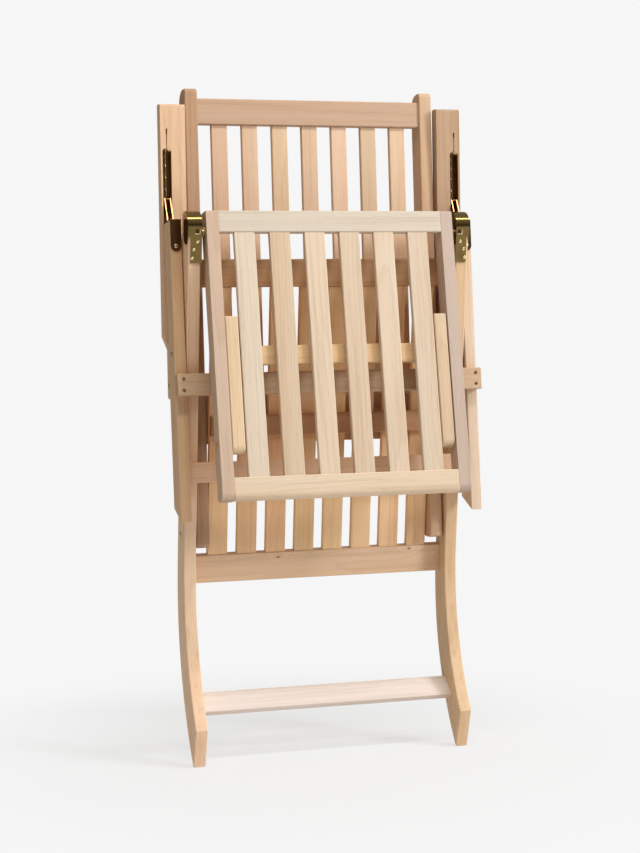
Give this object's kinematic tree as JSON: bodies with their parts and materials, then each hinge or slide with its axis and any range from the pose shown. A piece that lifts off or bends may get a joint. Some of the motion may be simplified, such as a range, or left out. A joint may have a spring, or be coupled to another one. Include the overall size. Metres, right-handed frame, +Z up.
{
  "type": "folding steamer deck chair",
  "caption": "Slatted wooden folding steamer chair with pivoting back, arms hooked to hinged front legs, curved rear legs, a fold-under footrest and brass hardware, stored folded.",
  "frame": {"origin": "bottom centre of the folded chair: on the plane that the tips of the rear feet stand on, mid width and mid folded depth", "axes": "+Z up along the folded chair, +X to the right as seen from the footrest's side, -Y towards that side; left and right nodes are named from that view"},
  "size_m": [0.6008, 0.2835, 1.2714],
  "materials": {
    "timber_frame": "oiled pale hardwood",
    "timber_slat": "oiled pale hardwood",
    "timber_arm": "oiled pale hardwood",
    "timber_footrest": "oiled pale hardwood",
    "brass": "polished"
  },
  "bodies": {
    "seat_frame": {"seat_side_left": "timber_frame", "seat_side_right": "timber_frame", "seat_front_rail": "timber_frame", "seat_rear_rail": "timber_frame", "seat_batten": "timber_frame", "rear_stretcher": "timber_frame", "footrest_bracket_left": "brass", "footrest_bracket_right": "brass", "bracket_screws": "brass", "leg_pivot_bolts": "brass", "back_pivot_bolts": "brass", "seat_slat_1": "timber_slat", "seat_slat_2": "timber_slat", "seat_slat_3": "timber_slat", "seat_slat_4": "timber_slat", "seat_slat_5": "timber_slat", "seat_slat_6": "timber_slat", "seat_slat_7": "timber_slat", "seat_slat_8": "timber_slat"},
    "back": {"back_stile_left": "timber_frame", "back_stile_right": "timber_frame", "back_top_rail": "timber_frame", "back_bottom_rail": "timber_frame", "arm_pivot_bolts": "brass", "back_slat_1": "timber_slat", "back_slat_2": "timber_slat", "back_slat_3": "timber_slat", "back_slat_4": "timber_slat", "back_slat_5": "timber_slat", "back_slat_6": "timber_slat", "back_slat_7": "timber_slat"},
    "arms": {"arm_left": "timber_arm", "arm_right": "timber_arm", "arm_ratchet_left": "brass", "arm_ratchet_right": "brass"},
    "front_legs": {"front_leg_left": "timber_frame", "front_leg_right": "timber_frame", "leg_upper_stretcher": "timber_frame", "leg_lower_stretcher": "timber_frame", "leg_hook_left": "brass", "leg_hook_right": "brass", "hook_screws": "brass", "stretcher_screws": "brass"},
    "footrest": {"footrest_stile_left": "timber_footrest", "footrest_stile_right": "timber_footrest", "footrest_knee_rail": "timber_footrest", "footrest_foot_rail": "timber_footrest", "footrest_pins": "brass", "footrest_leg_bolts": "brass", "footrest_slat_1": "timber_footrest", "footrest_slat_2": "timber_footrest", "footrest_slat_3": "timber_footrest", "footrest_slat_4": "timber_footrest", "footrest_slat_5": "timber_footrest", "footrest_slat_6": "timber_footrest"},
    "footrest_legs": {"footrest_leg_left": "timber_footrest", "footrest_leg_right": "timber_footrest", "footrest_crossbar": "timber_footrest"}
  },
  "joints": [
    {"name": "back_unfold", "type": "hinge", "parent": "seat_frame", "child": "back", "pos_m": [0, 0.04998, 0.42722], "axis": [-1, 0, 0], "range_deg": [0, 103]},
    {"name": "arm_unfold", "type": "hinge", "parent": "back", "child": "arms", "pos_m": [0, 0.06682, 0.70828], "axis": [-1, 0, 0], "range_deg": [-110, 0]},
    {"name": "front_legs_unfold", "type": "hinge", "parent": "seat_frame", "child": "front_legs", "pos_m": [0, 0.00745, 0.77122], "axis": [-1, 0, 0], "range_deg": [0, 94]},
    {"name": "footrest_unfold", "type": "hinge", "parent": "seat_frame", "child": "footrest", "pos_m": [0, -0.02399, 1.00125], "axis": [-1, 0, 0], "range_deg": [0, 143]},
    {"name": "footrest_legs_unfold", "type": "hinge", "parent": "footrest", "child": "footrest_legs", "pos_m": [0, -0.10549, 0.60964], "axis": [-1, 0, 0], "range_deg": [0, 99.5]}
  ],
  "couplings": [
    {"joint": "arm_unfold", "follows": "back_unfold", "ratio": -1.0643},
    {"joint": "front_legs_unfold", "follows": "back_unfold", "ratio": 0.91165},
    {"joint": "footrest_unfold", "follows": "back_unfold", "ratio": 1.3854},
    {"joint": "footrest_legs_unfold", "follows": "back_unfold", "ratio": 0.95728}
  ]
}
